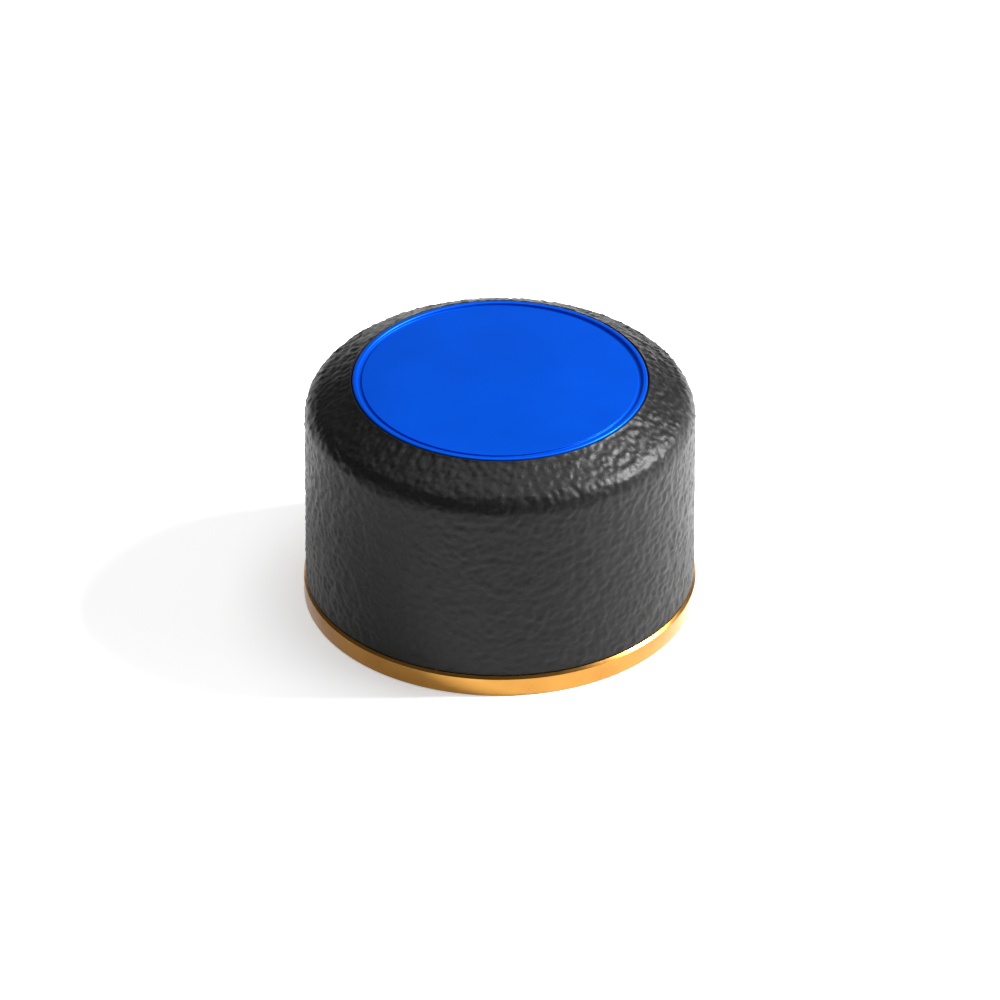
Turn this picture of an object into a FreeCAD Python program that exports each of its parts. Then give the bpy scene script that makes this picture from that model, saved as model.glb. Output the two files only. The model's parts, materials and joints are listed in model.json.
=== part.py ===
"""A survey prism: a glass corner cube held in a round canister, under a lift-off cover.

Millimetres, +Z out of the prism's face, origin at the middle of the base.
Driving sizes are in the sheet "sizes"; what follows from them is in the set "places".
"""
import FreeCAD, Part
import math
import os
import re

import Sketcher
from FreeCAD import Placement, Rotation, Vector

SIZES = {
    # glass, which everything else is sized around
    "glass_radius": 28.75,
    "land_depth": 1.2,          # full round edge in front of the three back faces
    "glass_bevel": 0.25,
    "coat_thickness": 0.2,
    "glass_play": 0.3,
    "tip_gap": 1.64,            # air between the prism's tip and the floor
    "pad_thickness": 1.0,
    "pad_radius": 6.0,
    "pad_height": 27.0,         # middle of a pad above the prism's tip
    # retaining ring and gasket
    "aperture_lap": 1.35,       # how far the retaining ring covers the glass
    "retainer_seat": 2.6,       # width of the step that the retaining ring stops on
    "retainer_depth": 2.4,
    "retainer_bevel": 1.2,
    "thread_play": 0.05,
    "notch_width": 2.6,
    "notch_depth": 1.2,
    "gasket_thickness": 0.6,
    "gasket_play": 0.15,
    # cover
    "cover_gap": 0.25,          # open gap all round the cover
    "cover_depth": 3.4,
    "cover_plate": 1.6,
    "skirt_wall": 2.6,
    "rim_proud": 0.2,           # cover's rim above the housing's lip
    "rim_width": 1.05,
    "rim_rise": 0.28,           # cover's rim above its face
    "rim_round": 0.32,
    "moat_width": 1.0,          # groove just inside the rim
    "moat_depth": 0.35,
    "cover_cord": 1.3,          # thickness of the cover's O-ring
    "cord_play": 0.03,          # under an O-ring, in its groove
    "groove_play": 0.15,        # each side of an O-ring, in its groove
    "slip_fit": 0.07,
    # housing
    "housing_wall": 3.2,
    "lip_width": 4.9,           # how far the lip stands in from the wall
    "lip_height": 7.2,
    "head_length": 5.6,         # bore that centres the glass
    "head_bevel": 3.9,
    "land_width": 0.25,         # flat lip around the cover
    "shoulder_slope": 28.85,    # degrees that the shoulder falls
    "shoulder_round": 5.5,
    "edge_break": 0.3,
    # base ring
    "ring_height": 4.7,
    "ring_step": 0.4,           # how far the ring stands out past the housing
    "ring_chamfer": 0.55,
    "ring_lap": 2.0,            # how far the ring reaches in under the base plate
    # base plate
    "base_recess": 0.3,         # plate's face behind the ring's face
    "floor_thickness": 2.7,
    "flange_thickness": 3.0,
    "flange_overlap": 1.2,
    "plug_fit": 0.1,
    "plug_length": 5.5,
    "plug_wall": 3.4,
    "base_cord": 1.5,           # thickness of the base plate's O-ring
    "seam_gasket": 0.3,
    "seam_inset": 0.45,
    "boss_height": 3.0,
    "boss_radius": 3.2,
    # mounting inserts
    "mount_inset": 5.4,         # from the plug's outside to the inserts' middle
    "mount_wall": 1.0,
    "insert_radius": 2.6,
    "insert_bore": 1.65,        # M4 tapping size
    "insert_length": 8.0,
    "insert_end_play": 0.4,
    "insert_roof": 1.5,
    "press_gap": 0.02,
    # cradle, spring and pins
    "cradle_wall": 4.15,
    "cradle_play": 0.3,
    "foot_play": 0.4,
    "foot_length": 6.5,
    "washer_thickness": 0.5,
    "spring_height": 5.4,
    "spring_thickness": 0.6,
    "spring_width": 4.3,
    "spring_inset": 1.0,        # inside the foot's edge
    "spring_slack": 0.05,
    "seat_margin": 0.3,
    "seat_depth": 0.4,
    "pin_radius": 1.5,
    "pin_length": 11.5,
    "pin_play": 0.1,
    "pin_inset": 0.2,           # between the pins' bosses and the spring's seat
    "pin_floor": 1.0,
    # fasteners
    "screw_inset": 3.6,         # in from the housing's wall
    "screw_radius": 1.45,
    "screw_length": 10.0,
    "screw_play": 0.05,
    "screw_head": 2.75,
    "head_land": 0.25,
    "head_sink": 0.1,
    "clear_radius": 1.7,
    "drive_radius": 1.3,
    "drive_depth": 0.9,
    "vent_circle": 12.0,
    "vent_head": 2.7,
    "vent_head_depth": 1.3,
    "vent_seal": 0.5,
    "overrun": 1.0,             # how far a cutting shape passes what it cuts
}

PLACES = {
    # radii, from the glass outwards
    "glass_bore": "glass_radius + glass_play",
    "aperture_radius": "glass_radius - aperture_lap",
    "opening_radius": "glass_bore + retainer_seat",
    "cover_radius": "opening_radius - cover_gap",
    "cradle_radius": "glass_bore + cradle_wall",
    "mouth_radius": "cradle_radius + cradle_play",
    "housing_bore": "mouth_radius + lip_width",
    "housing_radius": "housing_bore + housing_wall",
    "ring_radius": "housing_radius + ring_step",
    "plug_radius": "mouth_radius - plug_fit",
    "flange_radius": "mouth_radius + flange_overlap",
    "ring_opening": "mouth_radius - ring_lap",
    "screw_circle": "housing_radius - screw_inset",
    "mount_circle": "plug_radius - mount_inset",
    "mount_boss": "insert_radius + mount_wall",
    "foot_radius": "mount_circle - mount_boss - foot_play",
    "spring_outer": "foot_radius - spring_inset",
    "spring_inner": "spring_outer - spring_width",
    "seat_outer": "spring_outer + seat_margin",
    "seat_inner": "spring_inner - seat_margin",
    "pin_circle": "seat_inner - boss_radius - pin_inset",
    # levels, from the base up to the glass
    "floor_top": "base_recess + floor_thickness",
    "ledge_top": "ring_height - flange_thickness",
    "housing_bottom": "ring_height + seam_gasket",
    "lip_top": "housing_bottom + lip_height",
    "plug_top": "ring_height + plug_length",
    "boss_top": "floor_top + boss_height",
    "insert_top": "base_recess + insert_length + insert_end_play",
    "seat_level": "floor_top - seat_depth",
    "spring_top": "seat_level + spring_height",
    "foot_bottom": "spring_top + washer_thickness",
    "pin_bottom": "base_recess + pin_floor",
    "pin_top": "pin_bottom + pin_length",
    # a corner of a cube holds a circle of radius r at sqrt(2) r above its tip
    "tip_level": "floor_top + tip_gap",
    "coat_tip": "tip_level - coat_thickness * sqrt(3)",
    "recess_tip": "tip_level - (coat_thickness + pad_thickness) * sqrt(3)",
    # levels, from the glass up to the cover's rim
    "glass_face": "tip_level + glass_radius * sqrt(2) + land_depth",
    "retainer_bottom": "glass_face + gasket_thickness",
    "cover_bottom": "retainer_bottom + retainer_depth",
    "total_height": "cover_bottom + cover_depth",
    "cover_face": "total_height - rim_rise",
    "housing_top": "total_height - rim_proud",
    "head_bottom": "retainer_bottom - head_length",
    "cradle_top": "head_bottom - cradle_play",
    # shoulder: from the lip around the cover down to the wall
    "shoulder_start": "opening_radius + land_width",
    "shoulder_end": "housing_top - (housing_radius - shoulder_start) * tan(shoulder_slope * 1 deg)",
    # O-rings: the middle of each cord
    "cover_cord_radius": "opening_radius - slip_fit - cover_cord / 2",
    "cover_cord_level": "cover_bottom + edge_break + groove_play + cover_cord / 2",
    "base_cord_radius": "mouth_radius - spring_slack - base_cord / 2",
    "base_cord_level": "ring_height + plug_length / 2",
    # fasteners
    "screw_top": "head_sink + screw_length",
    "vent_bottom": "base_recess + head_sink",
    "vent_neck": "vent_bottom + vent_head_depth",
    "vent_face": "vent_neck + vent_seal",
}

SCREWS = 6
MOUNTS = 3
NOTCHES = 4
WAVES = 3

doc = FreeCAD.newDocument("survey_prism")
sheet = doc.addObject("Spreadsheet::Sheet", "sizes")
for row, (word, number) in enumerate(SIZES.items(), start=1):
    sheet.set(f"A{row}", word)
    sheet.set(f"B{row}", str(number))
    sheet.setAlias(f"B{row}", word)
places = doc.addObject("App::VarSet", "places")
doc.recompute()


def named(text):
    """An expression, with the sheet's or the set's name before each named value."""
    def owner(found):
        word = found[0]
        return ("sizes." if word in SIZES else "places." if word in PLACES else "") + word
    return re.sub(r"[a-z_]+", owner, text)


for word, formula in PLACES.items():
    places.addProperty("App::PropertyFloat", word)
    places.setExpression(word, named(formula))
    doc.recompute()


def value(text):
    """What an expression comes to now."""
    return float(sheet.evalExpression(named(text)))


def bind(thing, **formulas):
    """Tie an object's properties to expressions."""
    for word, formula in formulas.items():
        thing.setExpression(word, named(formula))


# Sketches and features ---------------------------------------------------------------

def origin_item(body, role):
    """One of a body's own origin planes or axes."""
    return next(item for item in body.Origin.OriginFeatures if item.Role == role)


def new_sketch(body, name, plane="XY_Plane", level="0"):
    """An empty sketch on one of the body's origin planes, raised to a level."""
    sketch = body.newObject("Sketcher::SketchObject", name)
    sketch.AttachmentSupport = (origin_item(body, plane), [""])
    sketch.MapMode = "FlatFace"
    bind(sketch, **{".AttachmentOffset.Base.z": level})
    return sketch


def pin_point(sketch, item, end, across, up):
    """Tie a point of a sketch to its two distances from the origin."""
    for kind, text, axis in (("DistanceX", across, -2), ("DistanceY", up, -1)):
        distance = value(text)
        if abs(distance) < 1e-9:
            sketch.addConstraint(Sketcher.Constraint("PointOnObject", item, end, axis))
            continue
        size = Sketcher.Constraint(kind, -1, 1, item, end, distance)
        index = sketch.addConstraint(size)
        bind(sketch, **{f"Constraints[{index}]": text})


def outline(sketch, corners):
    """Straight sides through the corners, each (across, up) as two expressions."""
    spots = [Vector(value(across), value(up), 0) for across, up in corners]
    for start, end in zip(spots, spots[1:] + spots[:1]):
        sketch.addGeometry(Part.LineSegment(start, end), False)
    for side in range(len(corners)):
        following = (side + 1) % len(corners)
        sketch.addConstraint(Sketcher.Constraint("Coincident", side, 2, following, 1))
    for side, (across, up) in enumerate(corners):
        pin_point(sketch, side, 1, across, up)


def circle(sketch, across, up, radius):
    """A circle, all of it given by expressions."""
    middle = Vector(value(across), value(up), 0)
    item = sketch.addGeometry(Part.Circle(middle, Vector(0, 0, 1), value(radius)), False)
    pin_point(sketch, item, 3, across, up)
    index = sketch.addConstraint(Sketcher.Constraint("Radius", item, value(radius)))
    bind(sketch, **{f"Constraints[{index}]": radius})


def turned(name, corners, centre=None):
    """A body turned about Z, or about an upright line further along X.

    The corners are (radius, level) pairs of expressions, and a radius starts at the centre.
    """
    body = doc.addObject("PartDesign::Body", name)
    profile = new_sketch(body, f"{name}_profile", "XZ_Plane")
    axis = "V_Axis"
    if centre:
        ends = [(centre, corners[0][1]), (centre, corners[-1][1])]
        outline(profile, [(f"{centre} + {across}", up) for across, up in corners])
        spots = [Vector(value(across), value(up), 0) for across, up in ends]
        line = profile.addGeometry(Part.LineSegment(*spots), True)
        pin_point(profile, line, 1, *ends[0])
        pin_point(profile, line, 2, *ends[1])
        axis = "Axis0"
    else:
        outline(profile, corners)
    turn = body.newObject("PartDesign::Revolution", f"{name}_turned")
    turn.Profile = profile
    turn.ReferenceAxis = (profile, [axis])
    turn.Angle = 360
    doc.recompute()
    return body


def round_edges(body, name, radius, spots):
    """Round the turned edges that pass through the given (radius, level) spots."""
    wanted = [(value(across), value(up)) for across, up in spots]
    base = body.Tip
    found = []
    for index, edge in enumerate(base.Shape.Edges, start=1):
        if not isinstance(edge.Curve, Part.Circle):
            continue
        here = (edge.Curve.Radius, edge.Curve.Center.z)
        if any(math.dist(here, spot) < 1e-4 for spot in wanted):
            found.append(f"Edge{index}")
    assert len(found) == len(spots), f"{name}: {len(found)} edges"
    fillet = body.newObject("PartDesign::Fillet", name)
    fillet.Base = (base, found)
    bind(fillet, Radius=radius)
    doc.recompute()


def repeat(body, feature, count, angle=360):
    """Repeat a feature about Z, and make the pattern the body's last step."""
    pattern = body.newObject("PartDesign::PolarPattern", f"{feature.Name}_pattern")
    pattern.Originals = [feature]
    pattern.Axis = (origin_item(body, "Z_Axis"), [""])
    pattern.Angle = angle
    pattern.Occurrences = count
    body.Tip = pattern
    doc.recompute()


def padded(body, name, level, circles, length):
    """Round bosses that rise from a level."""
    sketch = new_sketch(body, f"{name}_sketch", level=level)
    for across, up, radius in circles:
        circle(sketch, across, up, radius)
    pad = body.newObject("PartDesign::Pad", name)
    pad.Profile = sketch
    bind(pad, Length=length)
    doc.recompute()
    return pad


def drilled(body, name, level, circles, depth, upwards=True):
    """Blind round holes from a level, and proof that they cut."""
    before = body.Shape.Volume
    sketch = new_sketch(body, f"{name}_sketch", level=level)
    for across, up, radius in circles:
        circle(sketch, across, up, radius)
    pocket = body.newObject("PartDesign::Pocket", name)
    pocket.Profile = sketch
    pocket.Reversed = upwards
    bind(pocket, Length=depth)
    doc.recompute()
    assert body.Shape.Volume < before - 1e-3, f"{name} cuts nothing"
    return pocket


def torus(name, ring_radius, cord, level):
    """An O-ring about Z."""
    ring = doc.addObject("Part::Torus", name)
    bind(ring, Radius1=ring_radius, Radius2=f"{cord} / 2")
    bind(ring, **{".Placement.Base.z": level})
    return ring


def tube(name, outer, inner, bottom, thickness):
    """A flat or tall ring about Z, with square edges."""
    top = f"{bottom} + {thickness}"
    return turned(name, [(inner, bottom), (outer, bottom), (outer, top), (inner, top)])


def around(radius, degrees):
    """Expressions for the point at a radius and a heading."""
    return (f"{radius} * cos({degrees} deg)", f"{radius} * sin({degrees} deg)")


# Cover --------------------------------------------------------------------------------

def front_cover():
    """A shallow blue cap: a flat face, a raised rim, and a skirt grooved for its O-ring."""
    skirt = "cover_radius - skirt_wall"
    groove_floor = "cover_cord_radius - cover_cord / 2 - cord_play"
    groove_low = "cover_cord_level - cover_cord / 2 - groove_play"
    groove_high = "cover_cord_level + cover_cord / 2 + groove_play"
    rim_inner = "cover_radius - rim_width"
    moat_inner = "cover_radius - rim_width - moat_width"
    body = turned("front_cover", [
        ("0", "cover_face - cover_plate"), (skirt, "cover_face - cover_plate"),
        (skirt, "cover_bottom"), ("cover_radius", "cover_bottom"),
        ("cover_radius", groove_low), (groove_floor, groove_low),
        (groove_floor, groove_high), ("cover_radius", groove_high),
        ("cover_radius", "total_height"), (rim_inner, "total_height"),
        (rim_inner, "cover_face - moat_depth"), (moat_inner, "cover_face - moat_depth"),
        (moat_inner, "cover_face"), ("0", "cover_face")])
    tops = [("cover_radius", "total_height"), (rim_inner, "total_height")]
    round_edges(body, "rim_rounding", "rim_round", tops)
    return body


def cover_o_ring():
    """The O-ring that grips the housing's opening."""
    return torus("cover_o_ring", "cover_cord_radius", "cover_cord", "cover_cord_level")


# Housing and glass -----------------------------------------------------------------------

def housing():
    """The powder-coated canister: head bore, thin wall, thick lip and screw holes."""
    bore_low = "lip_top + housing_bore - mouth_radius"
    body = turned("housing", [
        ("opening_radius", "housing_top"), ("shoulder_start", "housing_top"),
        ("housing_radius", "shoulder_end"),
        ("housing_radius", "housing_bottom + edge_break"),
        ("housing_radius - edge_break", "housing_bottom"),
        ("mouth_radius", "housing_bottom"), ("mouth_radius", "lip_top"),
        ("housing_bore", bore_low), ("housing_bore", "head_bottom - head_bevel"),
        ("housing_bore - head_bevel", "head_bottom"), ("glass_bore", "head_bottom"),
        ("glass_bore", "retainer_bottom"), ("opening_radius", "retainer_bottom")])
    round_edges(body, "shoulder_rounding", "shoulder_round", [("housing_radius", "shoulder_end")])
    round_edges(body, "opening_rounding", "edge_break", [("shoulder_start", "housing_top")])
    hole = drilled(body, "screw_holes", "housing_bottom",
                   [("screw_circle", "0", "screw_radius + screw_play")],
                   "screw_top - housing_bottom + cradle_play")
    repeat(body, hole, SCREWS)
    return body


def retaining_ring():
    """The threaded ring that holds the glass, bevelled inside and notched for a spanner."""
    radius = "opening_radius - thread_play"
    body = turned("retaining_ring", [
        ("aperture_radius", "retainer_bottom"), (radius, "retainer_bottom"),
        (radius, "cover_bottom"), ("aperture_radius + retainer_bevel", "cover_bottom"),
        ("aperture_radius", "cover_bottom - retainer_bevel")])
    sketch = new_sketch(body, "notch_sketch", level="cover_bottom")
    outline(sketch, [("aperture_radius - overrun", "-notch_width / 2"),
                     ("opening_radius + overrun", "-notch_width / 2"),
                     ("opening_radius + overrun", "notch_width / 2"),
                     ("aperture_radius - overrun", "notch_width / 2")])
    notch = body.newObject("PartDesign::Pocket", "spanner_notches")
    notch.Profile = sketch
    bind(notch, Length="notch_depth")
    doc.recompute()
    repeat(body, notch, NOTCHES)
    return body


def front_gasket():
    """The flat gasket between the retaining ring and the glass."""
    return tube("front_gasket", "glass_bore - gasket_play", "aperture_radius + gasket_play",
                "glass_face", "gasket_thickness")


def corner_rotation():
    """Turns a cube's corner so that it points down, with a face's middle towards +X."""
    upright = Rotation(Vector(1, 1, 1), Vector(0, 0, 1))
    edge = upright.multVec(Vector(1, 0, 0))
    heading = math.degrees(math.atan2(edge.y, edge.x))
    return Rotation(Vector(0, 0, 1), 180 - heading).multiply(upright)


def corner(name, tip):
    """A cube that stands on its corner, with the corner at a level."""
    cube = doc.addObject("Part::Box", name)
    cube.Placement = Placement(Vector(0, 0, 0), corner_rotation())
    bind(cube, Length="3 * glass_radius", Width="3 * glass_radius", Height="3 * glass_radius")
    bind(cube, **{".Placement.Base.z": tip})
    return cube


def rod(name, radius, bottom, top, across="0", up="0"):
    """An upright cylinder between two levels."""
    cylinder = doc.addObject("Part::Cylinder", name)
    bind(cylinder, Radius=radius, Height=f"{top} - ({bottom})")
    bind(cylinder, **{".Placement.Base.x": across, ".Placement.Base.y": up})
    bind(cylinder, **{".Placement.Base.z": bottom})
    return cylinder


def combine(kind, name, base, tool):
    """A boolean of two objects: Cut, Fuse or Common."""
    result = doc.addObject(f"Part::{kind}", name)
    result.Base = base
    result.Tool = tool
    doc.recompute()
    return result


def gather(name, pieces):
    """Separate solids that share one node."""
    group = doc.addObject("Part::Compound", name)
    group.Links = pieces
    doc.recompute()
    return group


def glass_blank():
    """The round blank that the corner is ground from, with its front edge bevelled."""
    barrel = rod("glass_barrel", "glass_radius", "coat_tip", "glass_face - glass_bevel")
    bevel = doc.addObject("Part::Cone", "glass_bevel_cone")
    bind(bevel, Radius1="glass_radius", Radius2="glass_radius - glass_bevel",
         Height="glass_bevel")
    bind(bevel, **{".Placement.Base.z": "glass_face - glass_bevel"})
    return combine("Fuse", "glass_blank", barrel, bevel)


def prism_glass(blank):
    """Solid glass: a round front and three square back faces that meet at the tip."""
    return combine("Common", "prism_glass", blank, corner("glass_corner", "tip_level"))


def reflector_coating(blank, glass):
    """The metal and lacquer layer on the three back faces."""
    shell = combine("Common", "coat_blank", blank, corner("coat_corner", "coat_tip"))
    return combine("Cut", "reflector_coating", shell, glass)


def cushion_pads():
    """Three round foam pads, one at the middle of each back face."""
    pads = []
    lean = math.degrees(math.asin(math.sqrt(2 / 3)))
    along = "(pad_height * sqrt(1.5))"
    gap = "(coat_thickness + pad_thickness)"
    for number in range(3):
        heading = number * 120
        # out along the face, then off it by the coating and the pad itself
        reach = f"({along} * sqrt(1 / 3) + {gap} * sqrt(2 / 3))"
        across, up = around(reach, heading)
        level = f"tip_level + {along} * sqrt(2 / 3) - {gap} * sqrt(1 / 3)"
        pad = doc.addObject("Part::Cylinder", f"pad_{number + 1}")
        spin = Rotation(Vector(0, 0, 1), heading)
        pad.Placement = Placement(Vector(0, 0, 0),
                                  spin.multiply(Rotation(Vector(0, 1, 0), -lean)))
        bind(pad, Radius="pad_radius", Height="pad_thickness")
        bind(pad, **{".Placement.Base.x": across, ".Placement.Base.y": up,
                     ".Placement.Base.z": level})
        pads.append(pad)
    return gather("cushion_pads", pads)


# Cradle, spring and pins -----------------------------------------------------------------

def prism_cradle():
    """The moulded funnel that backs the glass, with a cube corner's hollow inside."""
    foot_top = "foot_bottom + foot_length"
    blank = turned("cradle_blank", [
        ("0", "foot_bottom"), ("foot_radius", "foot_bottom"), ("foot_radius", foot_top),
        ("cradle_radius", f"{foot_top} + cradle_radius - foot_radius"),
        ("cradle_radius", "cradle_top"), ("0", "cradle_top")])
    barrel = rod("recess_barrel", "glass_bore", "recess_tip", "cradle_top + overrun")
    hollow = combine("Common", "recess", barrel, corner("recess_corner", "recess_tip"))
    holes = gather("cradle_pin_holes", [
        rod(f"cradle_pin_hole_{heading}", "pin_radius + pin_play", "foot_bottom - overrun",
            "pin_top + cradle_play", *around("pin_circle", heading))
        for heading in (120, 240)])
    hollowed = combine("Cut", "hollowed_cradle", blank, hollow)
    return combine("Cut", "prism_cradle", hollowed, holes)


def spring_washer():
    """The steel washer between the spring and the cradle's foot."""
    return tube("spring_washer", "seat_outer", "seat_inner", "spring_top", "washer_thickness")


def wave_spring():
    """A one-turn wave spring: a flat steel strip that rises and falls round the circle."""
    thickness = value("spring_thickness")
    swing = value("spring_height") / 2 - thickness / 2 - value("spring_slack")
    middle = value("seat_level + spring_height / 2")
    steps = 24 * WAVES

    def loop(radius, level):
        """A closed wavy curve at a radius."""
        points = []
        for step in range(steps):
            angle = 2 * math.pi * step / steps
            rise = level + swing * math.cos(WAVES * angle)
            points.append(Vector(radius * math.cos(angle), radius * math.sin(angle), rise))
        curve = Part.BSplineCurve()
        curve.interpolate(Points=points, PeriodicFlag=True)
        return curve.toShape()

    low, high = middle - thickness / 2, middle + thickness / 2
    inner, outer = value("spring_inner"), value("spring_outer")
    corners = [(inner, low), (outer, low), (outer, high), (inner, high)]
    loops = [loop(radius, level) for radius, level in corners]
    faces = [Part.makeRuledSurface(one, other)
             for one, other in zip(loops, loops[1:] + loops[:1])]
    solid = Part.makeSolid(Part.makeShell(faces))
    spring = doc.addObject("Part::Feature", "wave_spring")
    spring.Shape = solid if solid.Volume > 0 else solid.reversed()
    return spring


def locating_pins():
    """Two dowels that stop the cradle from turning."""
    return gather("locating_pins", [
        rod(f"locating_pin_{heading}", "pin_radius", "pin_bottom", "pin_top",
            *around("pin_circle", heading))
        for heading in (120, 240)])


# Base ----------------------------------------------------------------------------------

def base_plate():
    """The plug that closes the housing, with a grooved rim and its bosses."""
    hub = "ring_opening - cradle_play"
    rim_inner = "plug_radius - plug_wall"
    groove_floor = "base_cord_radius - base_cord / 2 - cord_play"
    groove_low = "base_cord_level - base_cord / 2 - groove_play"
    groove_high = "base_cord_level + base_cord / 2 + groove_play"
    body = turned("base_plate", [
        ("0", "base_recess"), (hub, "base_recess"), (hub, "ledge_top"),
        ("flange_radius", "ledge_top"), ("flange_radius", "ring_height"),
        ("plug_radius", "ring_height"), ("plug_radius", groove_low),
        (groove_floor, groove_low), (groove_floor, groove_high),
        ("plug_radius", groove_high), ("plug_radius", "plug_top"),
        (rim_inner, "plug_top"), (rim_inner, "floor_top"), ("seat_outer", "floor_top"),
        ("seat_outer", "seat_level"), ("seat_inner", "seat_level"),
        ("seat_inner", "floor_top"), ("0", "floor_top")])
    mount = padded(body, "mount_bosses", "ledge_top",
                   [("mount_circle", "0", "mount_boss")],
                   "insert_top + insert_roof - ledge_top")
    repeat(body, mount, MOUNTS)
    pins = [(*around("pin_circle", heading), "boss_radius") for heading in (120, 240)]
    padded(body, "small_bosses", "base_recess", pins + [("vent_circle", "0", "boss_radius")],
           "boss_top - base_recess")
    insert_hole = drilled(body, "insert_holes", "base_recess",
                          [("mount_circle", "0", "insert_radius + press_gap")],
                          "insert_top - base_recess")
    repeat(body, insert_hole, MOUNTS)
    holes = [(*around("pin_circle", heading), "pin_radius + press_gap")
             for heading in (120, 240)]
    drilled(body, "pin_holes", "boss_top", holes, "boss_top - pin_bottom", upwards=False)
    drilled(body, "vent_counterbore", "base_recess",
            [("vent_circle", "0", "vent_head + cradle_play")], "vent_face - base_recess")
    drilled(body, "vent_hole", "base_recess",
            [("vent_circle", "0", "screw_radius + screw_play")], "boss_top - base_recess + overrun")
    return body


def base_o_ring():
    """The O-ring that seals the plug in the housing's mouth."""
    return torus("base_o_ring", "base_cord_radius", "base_cord", "base_cord_level")


def base_gasket():
    """The thin gasket that keeps the brass off the aluminium, pierced for the screws."""
    body = tube("base_gasket", "housing_radius - seam_inset", "mouth_radius + plug_fit",
                "ring_height", "seam_gasket")
    hole = drilled(body, "gasket_holes", "ring_height",
                   [("screw_circle", "0", "clear_radius")], "seam_gasket")
    repeat(body, hole, SCREWS)
    return body


def mount_inserts():
    """Threaded brass bushes in the base plate, which take M4 screws from below."""
    top = "base_recess + insert_length"
    body = turned("mount_inserts", [
        ("insert_bore", "base_recess"), ("insert_radius", "base_recess"),
        ("insert_radius", top), ("insert_bore", top)], centre="mount_circle")
    repeat(body, body.Tip, MOUNTS)
    return body


def base_ring():
    """The brass ring that clamps the base plate, countersunk for its screws."""
    pocket = "flange_radius + 2 * plug_fit"
    body = turned("base_ring", [
        ("ring_opening", "0"), ("ring_radius - edge_break", "0"),
        ("ring_radius", "edge_break"), ("ring_radius", "ring_height - ring_chamfer"),
        ("ring_radius - ring_chamfer", "ring_height"), (pocket, "ring_height"),
        (pocket, "ledge_top"), ("ring_opening", "ledge_top")])
    sketch = new_sketch(body, "screw_hole_sketch")
    circle(sketch, "screw_circle", "0", "clear_radius")
    doc.recompute()
    before = body.Shape.Volume
    hole = body.newObject("PartDesign::Hole", "screw_hole")
    hole.Profile = sketch
    doc.recompute()
    hole.Reversed = True
    hole.Threaded = False
    hole.DepthType = "ThroughAll"
    hole.HoleCutType = "Countersink"
    hole.HoleCutCustomValues = True
    hole.HoleCutCountersinkAngle = 90
    bind(hole, Diameter="2 * clear_radius",
         HoleCutDiameter="2 * (screw_head + head_sink + head_land + screw_play)")
    doc.recompute()
    assert body.Shape.Volume < before - 1, "the screw hole cuts nothing"
    repeat(body, hole, SCREWS)
    return body


def base_screws():
    """Countersunk screws through the ring into the housing's lip."""
    cone_top = "head_sink + head_land + screw_head - screw_radius"
    body = turned("base_screws", [
        ("0", "head_sink + drive_depth"), ("drive_radius", "head_sink + drive_depth"),
        ("drive_radius", "head_sink"), ("screw_head", "head_sink"),
        ("screw_head", "head_sink + head_land"), ("screw_radius", cone_top),
        ("screw_radius", "screw_top"), ("0", "screw_top")], centre="screw_circle")
    repeat(body, body.Tip, SCREWS)
    return body


def vent_screw():
    """The small screw that closes the hole for filling the canister with dry gas."""
    return turned("vent_screw", [
        ("0", "vent_bottom + drive_depth"), ("drive_radius", "vent_bottom + drive_depth"),
        ("drive_radius", "vent_bottom"), ("vent_head", "vent_bottom"),
        ("vent_head", "vent_neck"), ("screw_radius", "vent_neck"),
        ("screw_radius", "boss_top"), ("0", "boss_top")], centre="vent_circle")


def vent_seal():
    """The sealing washer under the vent screw's head."""
    inner = "screw_radius + screw_play"
    return turned("vent_seal", [
        (inner, "vent_neck"), ("vent_head", "vent_neck"), ("vent_head", "vent_face"),
        (inner, "vent_face")], centre="vent_circle")


# Build, check and write -------------------------------------------------------------------

def build():
    """Every sub-part, in the order that they come off the cover's end."""
    blank = glass_blank()
    glass = prism_glass(blank)
    return [
        front_cover(), cover_o_ring(), housing(), retaining_ring(), front_gasket(),
        glass, reflector_coating(blank, glass), cushion_pads(), prism_cradle(),
        spring_washer(), wave_spring(), locating_pins(), base_plate(), base_o_ring(),
        base_gasket(), mount_inserts(), vent_screw(), vent_seal(), base_ring(),
        base_screws()]


def check(parts):
    """Stop if any object failed, or any sub-part has no sound solid."""
    doc.recompute()
    for thing in doc.Objects:
        failed = {"Invalid", "Error"} & set(thing.State)
        assert not failed, f"{thing.Name}: {thing.State}"
    for part in parts:
        shape = part.Shape
        assert not shape.isNull(), f"{part.Label} is empty"
        assert shape.isValid(), f"{part.Label} is not valid"
        assert shape.Solids, f"{part.Label} has no solid"
        assert all(solid.Volume > 0 for solid in shape.Solids), f"{part.Label} is inside out"


def write(parts):
    """One STEP file for each sub-part, named by its label."""
    os.makedirs("parts", exist_ok=True)
    for part in parts:
        part.Shape.exportStep(f"parts/{part.Label}.step")
        solids = len(part.Shape.Solids)
        print(f"{part.Label:20} {solids} solid(s) {part.Shape.Volume:10.1f} mm3")


sub_parts = build()
check(sub_parts)
write(sub_parts)
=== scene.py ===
# %% [markdown]
# # A survey prism in a round canister
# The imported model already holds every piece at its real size. This lesson gives each surface its
# finish, rebuilds the three pieces that are seen from outside with smooth turned meshes, and
# lights them. Everything is in metres, with +Z out of the prism's face.

# %% Load the fixed frame
import json
import math

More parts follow.
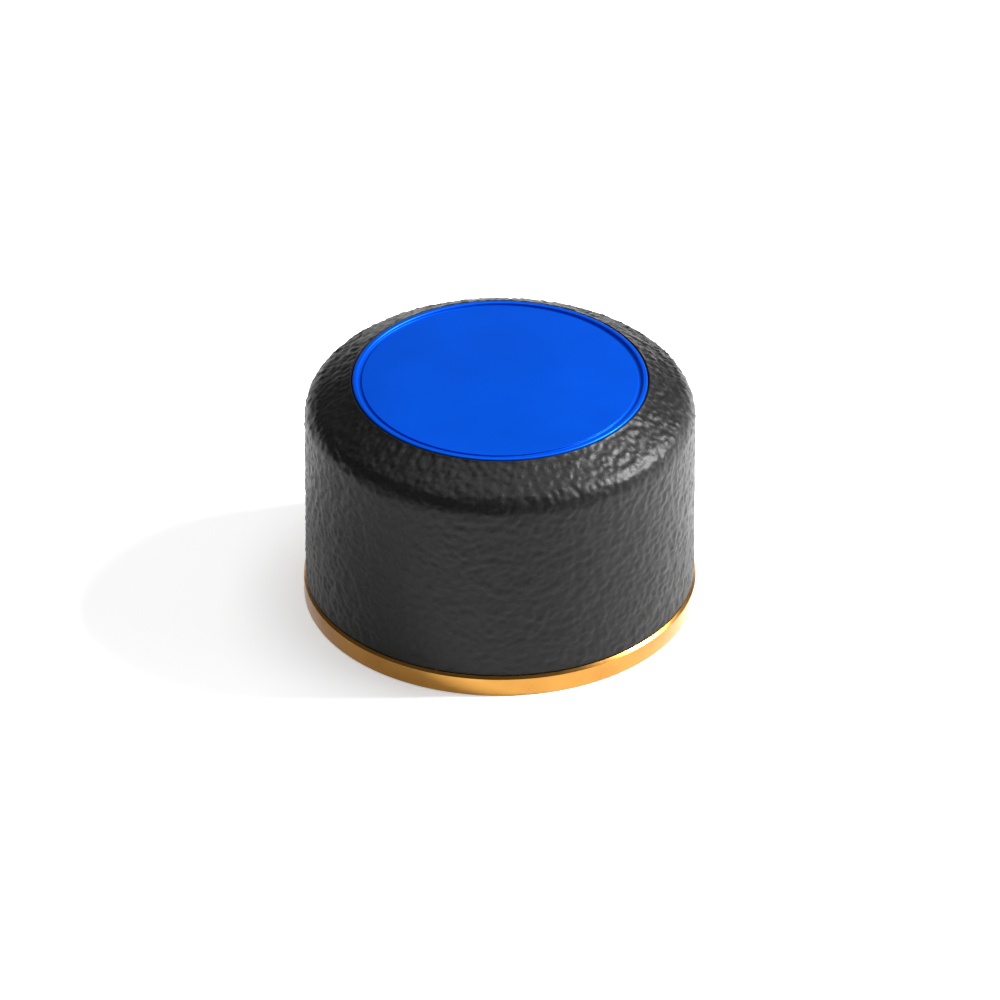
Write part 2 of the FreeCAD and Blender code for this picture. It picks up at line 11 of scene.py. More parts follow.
import bpy
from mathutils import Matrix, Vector


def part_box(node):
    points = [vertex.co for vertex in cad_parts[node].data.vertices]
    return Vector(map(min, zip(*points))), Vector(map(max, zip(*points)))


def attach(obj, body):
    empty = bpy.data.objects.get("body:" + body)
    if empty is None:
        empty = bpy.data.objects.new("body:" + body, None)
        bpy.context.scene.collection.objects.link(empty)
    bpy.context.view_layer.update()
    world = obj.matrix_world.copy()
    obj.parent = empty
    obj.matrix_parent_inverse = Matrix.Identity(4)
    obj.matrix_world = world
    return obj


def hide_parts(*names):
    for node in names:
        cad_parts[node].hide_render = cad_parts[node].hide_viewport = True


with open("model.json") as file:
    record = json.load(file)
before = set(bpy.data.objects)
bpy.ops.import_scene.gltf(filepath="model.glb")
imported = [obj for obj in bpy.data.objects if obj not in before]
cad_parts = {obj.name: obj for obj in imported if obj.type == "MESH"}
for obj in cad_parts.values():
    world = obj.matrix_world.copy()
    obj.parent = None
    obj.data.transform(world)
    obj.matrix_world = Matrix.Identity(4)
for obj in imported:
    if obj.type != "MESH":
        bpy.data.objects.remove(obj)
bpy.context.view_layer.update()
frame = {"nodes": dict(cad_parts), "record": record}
MM = 0.001
NODES = frame["nodes"]

# %% [markdown]
# ## Stage, camera and light
# A product like this is shot on white paper with a long lens, so its upright sides stay parallel.
# The camera looks down by 33 degrees from three metres away, and aims at a point on the axis.

# %% Camera
CAMERA_RISE = math.radians(33.1)
CAMERA_DISTANCE = 3.0
VIEW_WIDTH = 0.2135
AIM = Vector((0, 0, 0.02225))

camera_data = bpy.data.cameras.new("camera")
camera = bpy.data.objects.new("camera", camera_data)
bpy.context.scene.collection.objects.link(camera)
camera.location = AIM + CAMERA_DISTANCE * Vector((0, -math.cos(CAMERA_RISE), math.sin(CAMERA_RISE)))
camera.rotation_euler = (math.pi / 2 - CAMERA_RISE, 0, 0)
camera_data.lens = camera_data.sensor_width * CAMERA_DISTANCE / VIEW_WIDTH
bpy.context.scene.camera = camera
print("lens", round(camera_data.lens), "mm")

# %% [markdown]
# The lights are large and soft. The strongest one hangs beyond the right shoulder, which is what
# makes the coarse coating sparkle there, and a weak warm one stands on the left. The floor glows a
# little, like a lit studio sweep, which lightens the shadow.

# %% Lights and floor
def area_light(name, place, size, watts, colour=(1, 1, 1)):
    """A soft square light that points at the object."""
    data = bpy.data.lights.new(name, "AREA")
    data.size = size
    data.energy = watts
    data.color = colour
    light = bpy.data.objects.new(name, data)
    light.location = place
    light.rotation_euler = (Vector(place) - AIM).to_track_quat("Z", "Y").to_euler()
    bpy.context.scene.collection.objects.link(light)


area_light("key", (0.62, 0.08, 0.53), 0.22, 26.0)
area_light("right_fill", (0.85, -0.25, 0.35), 0.35, 1.3, (0.96, 0.98, 1.0))
area_light("left_fill", (-0.8, -0.5, 0.35), 0.5, 0.5, (1.0, 0.92, 0.84))
area_light("top", (0.0, 0.1, 1.1), 0.8, 8.0)

world = bpy.data.worlds.new("studio")
world.use_nodes = True
sky = world.node_tree.nodes["Background"]
sky.inputs["Color"].default_value = (1, 1, 1, 1)
sky.inputs["Strength"].default_value = 0.16
bpy.context.scene.world = world
bpy.context.scene.view_settings.view_transform = "Standard"

FLOOR_SIZE = 6.0
bpy.ops.mesh.primitive_plane_add(size=FLOOR_SIZE, location=(0, 0, 0))
floor = bpy.context.object
floor.name = "floor"
paper = bpy.data.materials.new("white_paper")
paper.use_nodes = True
paper_shader = paper.node_tree.nodes["Principled BSDF"]
paper_shader.inputs["Base Color"].default_value = (0.9, 0.9, 0.9, 1)
paper_shader.inputs["Roughness"].default_value = 0.9
paper_shader.inputs["Emission Color"].default_value = (1, 1, 1, 1)
paper_shader.inputs["Emission Strength"].default_value = 0.3
floor.data.materials.append(paper)
print("floor and four lights")

# %% [markdown]
# ## Shared effects as node groups
# Several finishes share an effect: fine grain, faint turning lines left by a lathe, and the soft
# marks that handling leaves. Each effect is built once as a group with named inputs. A group
# puts out masks and heights only, and each material decides what to do with them.

# %% A small kit for wiring nodes
def new_group(name, inputs, outputs):
    """An empty shader group, with its input and output nodes."""
    tree = bpy.data.node_groups.new(name, "ShaderNodeTree")
    for word, value in inputs.items():
        socket = tree.interface.new_socket(word, in_out="INPUT", socket_type="NodeSocketFloat")
        socket.default_value = value
    for word in outputs:
        tree.interface.new_socket(word, in_out="OUTPUT", socket_type="NodeSocketFloat")
    return tree, tree.nodes.new("NodeGroupInput"), tree.nodes.new("NodeGroupOutput")


def node(tree, kind, settings=None, **values):
    """A node with its settings, and its inputs set or linked. An underscore stands for a space."""
    made = tree.nodes.new(kind)
    for word, value in (settings or {}).items():
        setattr(made, word, value)
    for word, value in values.items():
        key = int(word[1:]) if word[0] == "i" and word[1:].isdigit() else word.replace("_", " ")
        if isinstance(value, bpy.types.NodeSocket):
            tree.links.new(value, made.inputs[key])
        else:
            made.inputs[key].default_value = value
    return made


def maths(tree, operation, first, second):
    """One arithmetic step, as its output socket."""
    return node(tree, "ShaderNodeMath", {"operation": operation}, i0=first, i1=second).outputs[0]


def object_point(tree):
    """The point on the piece, in metres."""
    return tree.nodes.new("ShaderNodeTexCoord").outputs["Object"]


# %% Grain, turning lines and handling marks
def grain_group():
    """Fine noise, for moulded and cast skins."""
    tree, inside, outside = new_group("fine_grain", {"Scale": 900.0, "Roughness": 0.6},
                                      ["Height", "Mask"])
    noise = node(tree, "ShaderNodeTexNoise", Vector=object_point(tree),
                 Scale=inside.outputs["Scale"], Detail=4.0, Roughness=inside.outputs["Roughness"])
    tree.links.new(noise.outputs["Fac"], outside.inputs["Height"])
    spread = node(tree, "ShaderNodeMapRange", Value=noise.outputs["Fac"], From_Min=0.35,
                  From_Max=0.65)
    tree.links.new(spread.outputs["Result"], outside.inputs["Mask"])
    return tree


def turning_group():
    """Rings about Z, as a lathe tool leaves them: by radius on faces, by height on walls."""
    tree, inside, outside = new_group("turning_lines", {"Pitch": 0.00012, "Wander": 0.4},
                                      ["Height"])
    point = object_point(tree)
    split = node(tree, "ShaderNodeSeparateXYZ", Vector=point)
    flat = node(tree, "ShaderNodeCombineXYZ", X=split.outputs["X"], Y=split.outputs["Y"])
    radius = node(tree, "ShaderNodeVectorMath", {"operation": "LENGTH"}, i0=flat.outputs[0])
    along = maths(tree, "ADD", radius.outputs["Value"], split.outputs["Z"])
    steps = maths(tree, "DIVIDE", along, inside.outputs["Pitch"])
    noise = node(tree, "ShaderNodeTexNoise", {"noise_dimensions": "1D"}, W=steps, Scale=0.6,
                 Detail=3.0)
    drift = node(tree, "ShaderNodeTexNoise", Vector=point, Scale=60.0)
    amount = maths(tree, "MULTIPLY", drift.outputs["Fac"], inside.outputs["Wander"])
    height = maths(tree, "ADD", noise.outputs["Fac"], amount)
    tree.links.new(height, outside.inputs["Height"])
    return tree


def handling_group():
    """Soft smudges and a few hairline scratches."""
    tree, inside, outside = new_group("handling_marks", {"Smudge Scale": 45.0, "Scratches": 0.5},
                                      ["Smudge", "Scratch"])
    point = object_point(tree)
    cloud = node(tree, "ShaderNodeTexNoise", Vector=point, Scale=inside.outputs["Smudge Scale"],
                 Detail=5.0, Roughness=0.55)
    smudge = node(tree, "ShaderNodeMapRange", Value=cloud.outputs["Fac"], From_Min=0.42,
                  From_Max=0.68)
    tree.links.new(smudge.outputs["Result"], outside.inputs["Smudge"])
    stretched = node(tree, "ShaderNodeMapping", Vector=point, Rotation=(0.2, 0.1, 0.7),
                     Scale=(900, 35, 400))
    hair = node(tree, "ShaderNodeTexNoise", Vector=stretched.outputs[0], Scale=1.0, Detail=2.0)
    line = node(tree, "ShaderNodeMapRange", Value=hair.outputs["Fac"], From_Min=0.7,
                From_Max=0.74)
    faint = maths(tree, "MULTIPLY", line.outputs["Result"], inside.outputs["Scratches"])
    tree.links.new(faint, outside.inputs["Scratch"])
    return tree


GROUPS = {"grain": grain_group(), "turning": turning_group(), "handling": handling_group()}
print("groups", [tree.name for tree in GROUPS.values()])

# %% [markdown]
# ## A material builder
# Every finish here starts from the Principled shader. A plain helper makes it, sets the constants
# straight on its sockets, and hands back the tree so that the effects can be wired in.

# %% Helpers for materials
def new_material(name, colour, roughness, metallic=0.0, **constants):
    """A Principled material; returns the material, its tree and its shader."""
    made = bpy.data.materials.new(name)
    made.use_nodes = True
    tree = made.node_tree
    shader = tree.nodes["Principled BSDF"]
    shader.inputs["Base Color"].default_value = (*colour, 1)
    shader.inputs["Roughness"].default_value = roughness
    shader.inputs["Metallic"].default_value = metallic
    for word, value in constants.items():
        shader.inputs[word.replace("_", " ")].default_value = value
    return made, tree, shader


def use_group(tree, key, **values):
    """Place one of the shared effects."""
    placed = tree.nodes.new("ShaderNodeGroup")
    placed.node_tree = GROUPS[key]
    for word, value in values.items():
        placed.inputs[word.replace("_", " ")].default_value = value
    return placed.outputs


def blend_colours(tree, shader, mask, dark, light):
    """Base colour between two, by a mask."""
    mix = node(tree, "ShaderNodeMix", {"data_type": "RGBA"}, i0=mask)
    mix.inputs[6].default_value = (*dark, 1)
    mix.inputs[7].default_value = (*light, 1)
    tree.links.new(mix.outputs[2], shader.inputs["Base Color"])


def spread_roughness(tree, shader, mask, low, high):
    """Roughness between two values, by a mask."""
    spread = node(tree, "ShaderNodeMapRange", Value=mask, To_Min=low, To_Max=high)
    tree.links.new(spread.outputs["Result"], shader.inputs["Roughness"])


def relief(tree, shader, height, depth, strength=1.0):
    """Fine bump from a height, with its depth in metres."""
    bump = node(tree, "ShaderNodeBump", Strength=strength, Distance=depth, Height=height)
    tree.links.new(bump.outputs["Normal"], shader.inputs["Normal"])


# %% [markdown]
# ## The finishes
# ** Powder coat** is nearly black plastic on aluminium. Its pebbles are real relief on the mesh, so
# the material only adds the finer orange-peel, a faint grain in its tone, and roughness that
# changes in soft patches.

# %% Powder coat
def powder_coat():
    """Nearly black coating with fine orange-peel."""
    made, tree, shader = new_material("powder_coat", (0.006, 0.006, 0.0058), 0.46,
                                      Specular_IOR_Level=0.14)
    fine = use_group(tree, "grain", Scale=2600.0, Roughness=0.7)
    broad = use_group(tree, "handling", Smudge_Scale=30.0)
    blend_colours(tree, shader, fine["Mask"], (0.002, 0.002, 0.002), (0.006, 0.006, 0.0058))
    spread_roughness(tree, shader, broad["Smudge"], 0.4, 0.5)
    relief(tree, shader, fine["Height"], 0.00006, 0.8)
    return made


# %% [markdown]
# **Blue anodising** is dyed metal: its highlights stay blue instead of going white. The face is
# satin, so one soft tone fills it, and only the rim catches the lamp.

# %% Blue anodising
def blue_anodised():
    """Satin dyed aluminium."""
    made, tree, shader = new_material("blue_anodised", (0.0, 0.06, 0.44), 0.38, 0.55,
                                      Specular_IOR_Level=0.04)
    marks = use_group(tree, "handling", Smudge_Scale=38.0, Scratches=0.15)
    fine = use_group(tree, "grain", Scale=5200.0)
    blend_colours(tree, shader, marks["Smudge"], (0.0, 0.05, 0.41), (0.0, 0.053, 0.43))
    spread_roughness(tree, shader, marks["Smudge"], 0.35, 0.43)
    relief(tree, shader, fine["Height"], 0.000008, 0.35)
    return made


# %% [markdown]
# **Turned brass** keeps fine tool lines that run round it. Lacquer keeps it golden, and slightly
# darker brown gathers in soft patches.

# %% Brass
def turned_brass():
    """Lacquered brass with fine tool lines."""
    made, tree, shader = new_material("turned_brass", (0.78, 0.5, 0.17), 0.26, 1.0)
    lines = use_group(tree, "turning", Pitch=0.00009, Wander=0.3)
    marks = use_group(tree, "handling", Smudge_Scale=55.0, Scratches=0.3)
    blend_colours(tree, shader, marks["Smudge"], (0.35, 0.172, 0.038), (0.27, 0.125, 0.027))
    spread_roughness(tree, shader, marks["Smudge"], 0.2, 0.32)
    relief(tree, shader, lines["Height"], 0.000012, 0.5)
    return made


# %% [markdown]
# The other metals share one recipe: a base colour, turning lines and smudges.

# %% Other metals
def machined(name, colour, low, high, depth=0.000008):
    """Machined or anodised metal with faint turning lines."""
    made, tree, shader = new_material(name, colour, low, 1.0)
    lines = use_group(tree, "turning", Pitch=0.00014, Wander=0.2)
    marks = use_group(tree, "handling", Smudge_Scale=60.0, Scratches=0.4)
    worn = tuple(min(1.0, part * 1.25) for part in colour)
    blend_colours(tree, shader, marks["Smudge"], colour, worn)
    spread_roughness(tree, shader, marks["Smudge"], low, high)
    relief(tree, shader, lines["Height"], depth, 0.5)
    return made


# %% [markdown]
# Rubber, foam and moulded plastic share another: matt, with grain at their own scale.

# %% Soft and moulded finishes
def moulded(name, colour, roughness, scale, depth):
    """Matt rubber, foam or plastic with a fine grain."""
    made, tree, shader = new_material(name, colour, roughness, Specular_IOR_Level=0.4)
    fine = use_group(tree, "grain", Scale=scale, Roughness=0.65)
    light = tuple(part * 1.5 for part in colour)
    blend_colours(tree, shader, fine["Mask"], colour, light)
    spread_roughness(tree, shader, fine["Mask"], roughness - 0.08, roughness + 0.08)
    relief(tree, shader, fine["Height"], depth, 0.6)
    return made


# %% [markdown]
# **Glass and its mirror.** The corner cube is clear crown glass, with a copper mirror on its three
# back faces. Light enters, meets all three, and comes back the way it came, which is why the six
# dark edges seem to meet in a star.

# %% Glass and copper
def clear_glass():
    """Clear crown glass, polished."""
    made, tree, shader = new_material("optical_glass", (0.98, 1.0, 0.99), 0.0,
                                      Transmission_Weight=1.0, IOR=1.517)
    marks = use_group(tree, "handling", Smudge_Scale=80.0, Scratches=0.0)
    spread_roughness(tree, shader, marks["Smudge"], 0.0, 0.015)
    return made


FINISHES = {
    "black_powder_coat": powder_coat(),
    "blue_anodised": blue_anodised(),
    "brass": turned_brass(),
    "black_anodised": machined("black_anodised", (0.03, 0.03, 0.032), 0.34, 0.48),
    "stainless_steel": machined("stainless_steel", (0.6, 0.6, 0.59), 0.24, 0.36),
    "spring_steel": machined("spring_steel", (0.42, 0.43, 0.45), 0.2, 0.32),
    "copper_coating": machined("copper_mirror", (0.86, 0.46, 0.3), 0.03, 0.08, 0.000001),
    "black_rubber": moulded("black_rubber", (0.016, 0.016, 0.017), 0.62, 1800.0, 0.00002),
    "grey_foam": moulded("grey_foam", (0.1, 0.1, 0.1), 0.9, 1100.0, 0.0001),
    "black_acetal": moulded("black_acetal", (0.024, 0.024, 0.026), 0.45, 1500.0, 0.00002),
    "optical_glass": clear_glass(),
}
print("finishes", len(FINISHES))

# %% Give every node its finish
for subpart in frame["record"]["subparts"]:
    mesh = NODES[subpart["node"]].data
    mesh.materials.clear()
    mesh.materials.append(FINISHES[subpart["material_slot"]])

# %% [markdown]
# ## Turned pieces
# The housing, the base ring and the cover are lathe work. A lathe's rule is simple: take a profile
# of corners, round the ones that a tool would round, and turn it about the axis. Making the meshes
# here gives them evenly spaced faces, which carry a smooth highlight and fine relief.

# %% Profile and lathe
ON_AXIS = 1e-7
ROUND_STEPS = 8


def rounded(corners, steps=ROUND_STEPS):
    """A closed profile from (radius, level, rounding) corners, in metres."""
    outline = []
    for index, (across, up, size) in enumerate(corners):
        here = Vector((across, up))
        before = Vector(corners[index - 1][:2])
        after = Vector(corners[(index + 1) % len(corners)][:2])
        if size == 0:
            outline.append(here)
            continue
        one, other = (before - here).normalized(), (after - here).normalized()
        half = one.angle(other) / 2
        middle = here + (one + other).normalized() * (size / math.sin(half))
        start = here + one * (size / math.tan(half)) - middle
        end = here + other * (size / math.tan(half)) - middle
        turn = start.angle_signed(end)
        for step in range(steps + 1):
            angle = -turn * step / steps
            spun = Vector((start.x * math.cos(angle) - start.y * math.sin(angle),
                           start.x * math.sin(angle) + start.y * math.cos(angle)))
            outline.append(middle + spun)
    return outline


def divide(outline, spacing):
    """The same closed outline, with no side longer than the spacing."""
    points = []
    for start, end in zip(outline, outline[1:] + outline[:1]):
        count = max(1, math.ceil((end - start).length / spacing))
        points += [start.lerp(end, step / count) for step in range(count)]
    return points


def lathe(name, outline, turns):
    """A mesh turned about Z from a closed outline; points on the axis become one pole."""
    verts, rings = [], []
    for across, up in outline:
        if across < ON_AXIS:
            rings.append([len(verts)] * turns)
            verts.append((0, 0, up))
            continue
        ring = []
        for step in range(turns):
            angle = 2 * math.pi * step / turns
            ring.append(len(verts))
            verts.append((across * math.cos(angle), across * math.sin(angle), up))
        rings.append(ring)
    faces = []
    for low, high in zip(rings, rings[1:] + rings[:1]):
        for step in range(turns):
            after = (step + 1) % turns
            corners = [low[step], low[after], high[after], high[step]]
            face = list(dict.fromkeys(corners))
            if len(face) > 2:
                faces.append(face)
    mesh = bpy.data.meshes.new(name)
    mesh.from_pydata(verts, [], faces)
    mesh.validate()
    mesh.polygons.foreach_set("use_smooth", [True] * len(mesh.polygons))
    piece = bpy.data.objects.new(name, mesh)
    bpy.context.scene.collection.objects.link(piece)
    return piece


def keep_result(piece):
    """Make what the modifiers give into the piece's plain mesh."""
    bpy.context.view_layer.update()
    evaluated = piece.evaluated_get(bpy.context.evaluated_depsgraph_get())
    mesh = bpy.data.meshes.new_from_object(evaluated)
    piece.modifiers.clear()
    piece.data = mesh


# %% [markdown]
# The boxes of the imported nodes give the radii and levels. Walls, bevels and clearances are sizes
# of their own, named where each piece is made.

# %% Sizes read from the frame
cover_low, cover_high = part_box("front_cover")
shell_low, shell_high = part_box("housing")
cord_low, cord_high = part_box("cover_o_ring")
retainer_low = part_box("retaining_ring")[0]
ring_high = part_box("base_ring")[1]
plate_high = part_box("base_plate")[1]
glass_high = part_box("prism_glass")[1]
cradle_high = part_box("prism_cradle")[1]
PLAY = 0.3 * MM
EDGE_BREAK = 0.3 * MM
RING_RADIUS = ring_high.x
SHELL_RADIUS = shell_high.x
COVER_RADIUS = cover_high.x
MOUTH_RADIUS = cradle_high.x + PLAY
print("radii", RING_RADIUS, SHELL_RADIUS, COVER_RADIUS)

# %% [markdown]
# ## The housing's pebbled skin
# Coarse powder coat flows into rounded pebbles about a millimetre across. The rule for its shape is
# short: push each point out along its normal by a smooth cell pattern, broken up by noise. Geometry
# Nodes state that rule once, with the pebbles' size and height as named inputs. A weight on the
# mesh keeps the bore and the edges clean, as masking plugs do in the spray booth.

# %% The pebble rule as a node tree
DOME_TOP = 0.75
NOISE_AMOUNT = 1.3
NOISE_FREQUENCY = 0.55
MEAN_LUMP = 1.05


def pebble_tree():
    """Geometry in; the same geometry with pebbles wherever the weight says; material set."""
    tree = bpy.data.node_groups.new("pebbled_skin", "GeometryNodeTree")
    add = tree.interface.new_socket
    add("Geometry", in_out="INPUT", socket_type="NodeSocketGeometry")
    for word, value in (("Pebble Size", 0.0012), ("Height", 0.00042), ("Seed", 7.0)):
        add(word, in_out="INPUT", socket_type="NodeSocketFloat").default_value = value
    add("Material", in_out="INPUT", socket_type="NodeSocketMaterial")
    add("Geometry", in_out="OUTPUT", socket_type="NodeSocketGeometry")
    inside, outside = tree.nodes.new("NodeGroupInput"), tree.nodes.new("NodeGroupOutput")
    point = tree.nodes.new("GeometryNodeInputPosition").outputs[0]
    frequency = maths(tree, "DIVIDE", 1.0, inside.outputs["Pebble Size"])
    cells = node(tree, "ShaderNodeTexVoronoi",
                 {"voronoi_dimensions": "4D", "feature": "SMOOTH_F1"},
                 Vector=point, W=inside.outputs["Seed"], Scale=frequency, Smoothness=0.7)
    coarser = maths(tree, "MULTIPLY", frequency, NOISE_FREQUENCY)
    noise = node(tree, "ShaderNodeTexNoise", {"noise_dimensions": "4D"}, Vector=point,
                 W=inside.outputs["Seed"], Scale=coarser, Detail=3.0, Roughness=0.6)
    domes = maths(tree, "SUBTRACT", DOME_TOP, cells.outputs["Distance"])
    broken = maths(tree, "MULTIPLY", noise.outputs[0], NOISE_AMOUNT)
    centred = maths(tree, "SUBTRACT", maths(tree, "ADD", domes, broken), MEAN_LUMP)
    weight = node(tree, "GeometryNodeInputNamedAttribute", {"data_type": "FLOAT"},
                  Name="coat_weight")
    push = maths(tree, "MULTIPLY", maths(tree, "MULTIPLY", centred, inside.outputs["Height"]),
                 weight.outputs["Attribute"])
    normal = tree.nodes.new("GeometryNodeInputNormal").outputs[0]
    offset = node(tree, "ShaderNodeVectorMath", {"operation": "SCALE"}, i0=normal, Scale=push)
    moved = node(tree, "GeometryNodeSetPosition", Geometry=inside.outputs["Geometry"],
                 Offset=offset.outputs[0])
    whole = node(tree, "GeometryNodeRealizeInstances", Geometry=moved.outputs[0])
    coated = node(tree, "GeometryNodeSetMaterial", Geometry=whole.outputs[0],
                  Material=inside.outputs["Material"])
    tree.links.new(coated.outputs[0], outside.inputs["Geometry"])
    return tree


def bake_nodes(piece, tree, **values):
    """Run a node tree on a piece and keep the result as its plain mesh."""
    modifier = piece.modifiers.new("rule", "NODES")
    modifier.node_group = tree
    for item in tree.interface.items_tree:
        if item.in_out == "INPUT" and item.name in values:
            modifier[item.identifier] = values[item.name]
    keep_result(piece)


# %% The housing
WALL = 3.2 * MM
SHOULDER_SLOPE = math.radians(28.85)
SHOULDER_ROUND = 5.5 * MM
LAND = 0.25 * MM
COVER_GAP = 0.25 * MM
OPENING = COVER_RADIUS + COVER_GAP
OPENING_ROUND = 0.12 * MM
HEAD_BEVEL = 3.9 * MM
LIP_HEIGHT = 7.2 * MM
LIP_SLOPE_TOP = 12.1 * MM
PROFILE_STUB = 0.5 * MM
COAT_FADE = 0.6 * MM
COAT_DEPTH = 0.6 * MM
SHOULDER_STEPS = 16
PEBBLE_PITCH = 0.42 * MM
SHELL_TURNS = 620
SAME_PLACE = 1e-6


def housing_piece():
    """The canister: a pebbled outside, and plain bores where the other pieces fit."""
    top, foot = shell_high.z, shell_low.z
    inner = SHELL_RADIUS - WALL
    bore = glass_high.x + PLAY
    step = retainer_low.z
    head = cradle_high.z + PLAY
    drop = (SHELL_RADIUS - OPENING - LAND) * math.tan(SHOULDER_SLOPE)
    outside = rounded([
        (SHELL_RADIUS - PROFILE_STUB, foot, 0), (SHELL_RADIUS, foot, EDGE_BREAK),
        (SHELL_RADIUS, top - drop, SHOULDER_ROUND), (OPENING + LAND, top, EDGE_BREAK),
        (OPENING, top, OPENING_ROUND), (OPENING, top - PROFILE_STUB, 0)],
        steps=SHOULDER_STEPS)[:-1]
    outside = divide(outside, PEBBLE_PITCH)
    # the last stretch runs back to the first point across the inside, so it is cut off
    last = max(index for index, spot in enumerate(outside)
               if abs(spot.x - OPENING) < SAME_PLACE and spot.y > step)
    plain = [Vector(spot) for spot in (
        (OPENING, step), (bore, step), (bore, head), (inner - HEAD_BEVEL, head),
        (inner, head - HEAD_BEVEL), (inner, foot + LIP_SLOPE_TOP),
        (MOUTH_RADIUS, foot + LIP_HEIGHT), (MOUTH_RADIUS, foot))]
    piece = lathe("housing_shell", outside[:last + 1] + plain, SHELL_TURNS)
    weights = piece.data.attributes.new("coat_weight", "FLOAT", "POINT")
    for vertex, weight in zip(piece.data.vertices, weights.data):
        radius = math.hypot(vertex.co.x, vertex.co.y)
        from_mouth = (radius - OPENING) / COAT_FADE
        from_foot = (vertex.co.z - foot) / COAT_FADE
        slope_height = top - max(0, radius - OPENING - LAND) * math.tan(SHOULDER_SLOPE)
        shown = vertex.co.z > slope_height - COAT_DEPTH or radius > inner + 0.5 * WALL
        weight.value = min(1, max(0, from_mouth)) * min(1, max(0, from_foot)) if shown else 0
    return piece


housing_shell = housing_piece()
bake_nodes(housing_shell, pebble_tree(), Material=FINISHES["black_powder_coat"])
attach(housing_shell, "canister")
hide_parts("housing")
print("housing faces", len(housing_shell.data.polygons))

# %% [markdown]
# ## The brass base ring
# It is a plain turned ring: an upright wall, a bright chamfer on top, and a pocket for the base
# plate. Its screw holes are cut with a boolean, as a drill press would, from copies of the heads.

# %% Base ring
RING_TURNS = 256
RING_CHAMFER = 0.55 * MM
RING_ROUND = 0.08 * MM
POCKET_PLAY = 0.2 * MM
RING_LAP = 2.0 * MM
FLANGE_THICKNESS = 3.0 * MM
SCREW_INSET = 3.6 * MM
SCREW_HEAD = 3.15 * MM
SCREW_SHANK = 1.7 * MM
SINK_DEPTH = 1.45 * MM
DRILL_REACH = 6 * MM
DRILL_TURNS = 40
SCREWS = 6
POCKET_RADIUS = plate_high.x + POCKET_PLAY
RING_OPENING = MOUTH_RADIUS - RING_LAP
LEDGE = ring_high.z - FLANGE_THICKNESS
SCREW_CIRCLE = SHELL_RADIUS - SCREW_INSET


def cut_holes(piece, cutters):
    """Subtract cutters from a piece, and keep the result as its plain mesh."""
    for cutter in cutters:
        modifier = piece.modifiers.new("hole", "BOOLEAN")
        modifier.operation = "DIFFERENCE"
        modifier.solver = "EXACT"
        modifier.object = cutter
    keep_result(piece)
    for cutter in cutters:
        bpy.data.objects.remove(cutter)


def shade_by_angle(piece, degrees=30):
    """Smooth faces with sharp edges kept where they turn by more than an angle."""
    piece.data.set_sharp_from_angle(angle=math.radians(degrees))


def ring_piece():
    """The brass ring, with its pocket and six countersunk holes."""
    outline = rounded([
        (RING_OPENING, 0, 0), (RING_RADIUS, 0, EDGE_BREAK),
        (RING_RADIUS, ring_high.z - RING_CHAMFER, RING_ROUND),
        (RING_RADIUS - RING_CHAMFER, ring_high.z, RING_ROUND),
        (POCKET_RADIUS, ring_high.z, 0), (POCKET_RADIUS, LEDGE, 0), (RING_OPENING, LEDGE, 0)])
    piece = lathe("brass_ring", outline, RING_TURNS)
    cutters = []
    for number in range(SCREWS):
        angle = 2 * math.pi * number / SCREWS
        cutter = lathe(f"drill_{number}", [Vector(spot) for spot in (
            (0, -MM), (SCREW_HEAD, -MM), (SCREW_HEAD, 0), (SCREW_SHANK, SINK_DEPTH),
            (SCREW_SHANK, DRILL_REACH), (0, DRILL_REACH))], DRILL_TURNS)
        place = Vector((SCREW_CIRCLE * math.cos(angle), SCREW_CIRCLE * math.sin(angle), 0))
        for vertex in cutter.data.vertices:
            vertex.co += place
        cutters.append(cutter)
    cut_holes(piece, cutters)
    shade_by_angle(piece)
    piece.data.materials.clear()
    piece.data.materials.append(FINISHES["brass"])
    return piece


brass_ring = ring_piece()
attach(brass_ring, "canister")
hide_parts("base_ring")
print("ring faces", len(brass_ring.data.polygons))

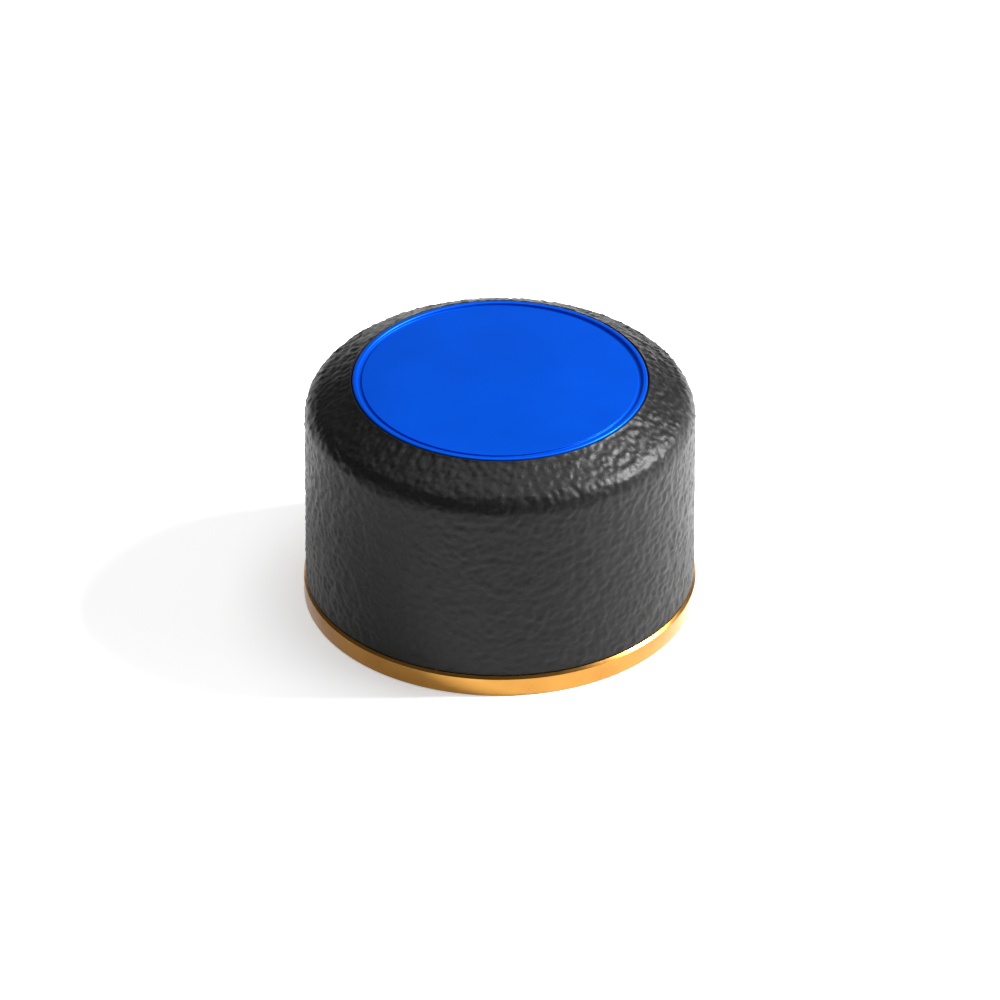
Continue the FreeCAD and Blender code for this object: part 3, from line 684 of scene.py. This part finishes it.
# %% [markdown]
# ## The blue cover
# The flat face sits a hair below a narrow rounded rim, with a shallow groove between them. That
# groove is the thin dark line inside the bright edge. Below, a skirt carries the O-ring.

# %% Cover
COVER_TURNS = 256
RIM_WIDTH = 1.05 * MM
RIM_RISE = 0.28 * MM
MOAT_WIDTH = 1.0 * MM
MOAT_DEPTH = 0.35 * MM
RIM_ROUND = 0.36 * MM
RIM_LEAN = 0.1 * MM
MOAT_ROUND = 0.12 * MM
MOAT_EDGE = 0.06 * MM
COVER_PLATE = 1.6 * MM
SKIRT_WALL = 2.6 * MM
SKIRT_ROUND = 0.1 * MM
CORD = 1.3 * MM
CORD_PLAY = 0.03 * MM
GROOVE_PLAY = 0.15 * MM


def cover_piece():
    """The cover: flat face, moat, rounded rim, and a skirt with a groove for the O-ring."""
    top, bottom = cover_high.z, cover_low.z
    face = top - RIM_RISE
    rim_inner = COVER_RADIUS - RIM_WIDTH
    moat_inner = rim_inner - MOAT_WIDTH
    skirt = COVER_RADIUS - SKIRT_WALL
    groove_low, groove_high = cord_low.z - GROOVE_PLAY, cord_high.z + GROOVE_PLAY
    groove_floor = cord_high.x - CORD - CORD_PLAY
    under = face - COVER_PLATE
    outline = rounded([
        (0, under, 0), (skirt, under, 0), (skirt, bottom, 0), (COVER_RADIUS, bottom, SKIRT_ROUND),
        (COVER_RADIUS, groove_low, 0), (groove_floor, groove_low, 0),
        (groove_floor, groove_high, 0), (COVER_RADIUS, groove_high, 0),
        (COVER_RADIUS, top, RIM_ROUND), (rim_inner, top, RIM_ROUND),
        (rim_inner - RIM_LEAN, face - MOAT_DEPTH, MOAT_ROUND),
        (moat_inner, face - MOAT_DEPTH, MOAT_ROUND), (moat_inner, face, MOAT_EDGE),
        (0, face, 0)])
    piece = lathe("blue_cover", outline, COVER_TURNS)
    shade_by_angle(piece)
    piece.data.materials.append(FINISHES["blue_anodised"])
    return piece


blue_cover = cover_piece()
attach(blue_cover, "cover")
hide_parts("front_cover")
print("cover faces", len(blue_cover.data.polygons))
